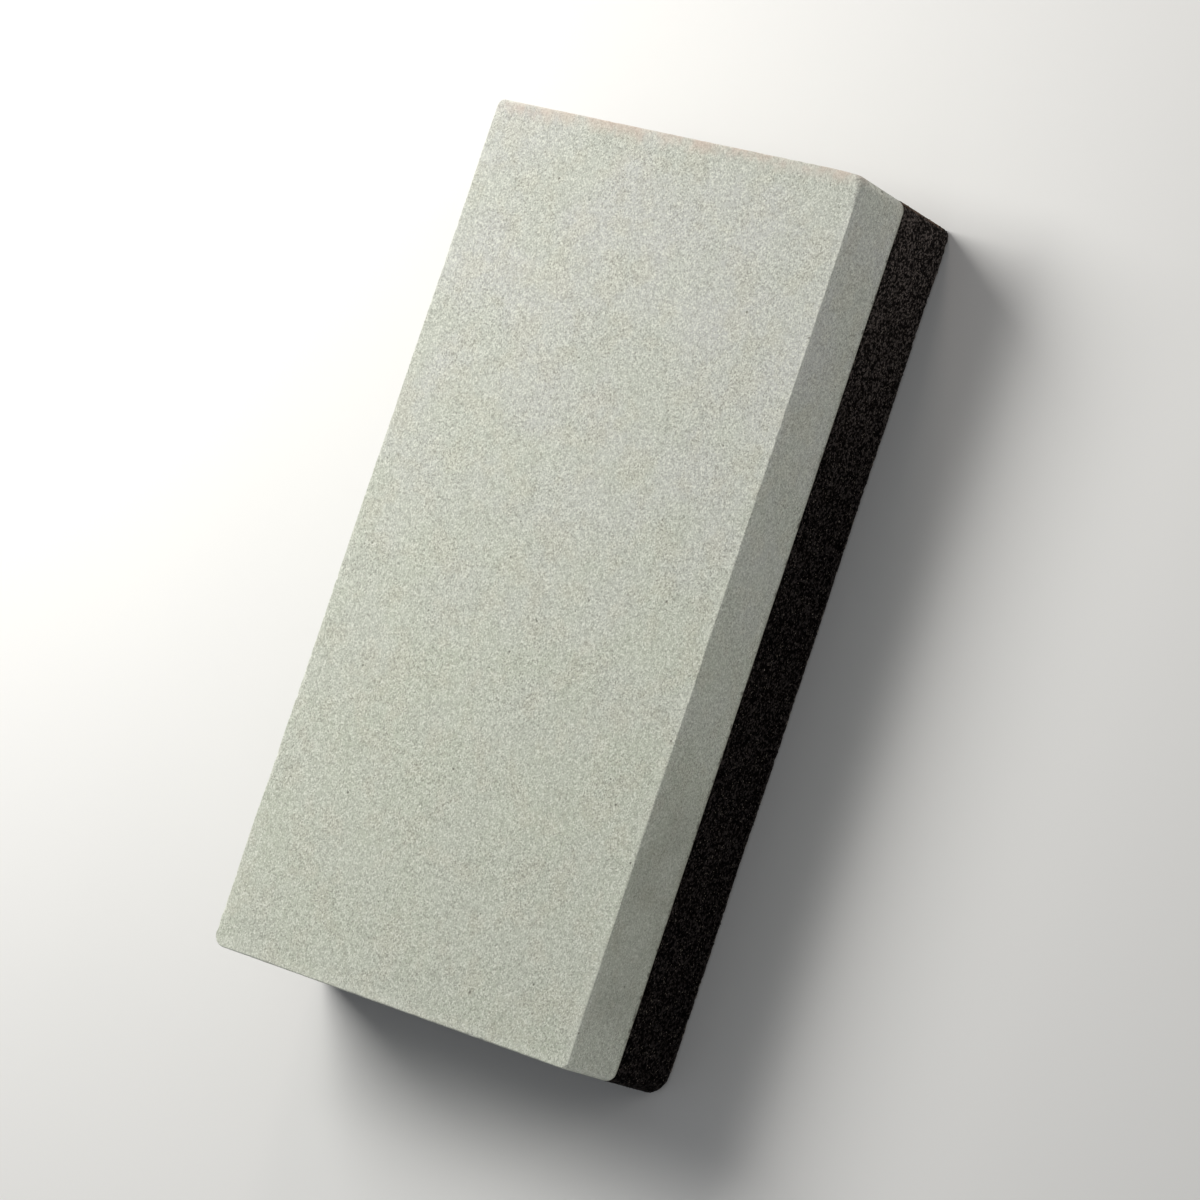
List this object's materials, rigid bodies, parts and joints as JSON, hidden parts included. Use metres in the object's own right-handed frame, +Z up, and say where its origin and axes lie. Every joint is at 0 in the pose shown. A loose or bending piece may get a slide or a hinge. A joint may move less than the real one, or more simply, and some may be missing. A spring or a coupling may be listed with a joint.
{
  "type": "sharpening whetstone",
  "caption": "Rectangular combination whetstone: a pale fine-grit slab bonded to a dark coarse-grit slab, used flat to sharpen knives and carving tools.",
  "frame": {"origin": "middle of the coarse working face, which the stone lies on", "axes": "+X along the stone's length, +Y across its width, +Z up through its thickness, out of the fine working face"},
  "size_m": [0.1, 0.05, 0.02],
  "materials": {
    "fine_grit": "matte",
    "bond": "satin",
    "coarse_grit": "matte"
  },
  "bodies": {
    "root": {"fine_grit_slab": "fine_grit", "bond_film": "bond", "coarse_grit_slab": "coarse_grit"}
  },
  "joints": []
}
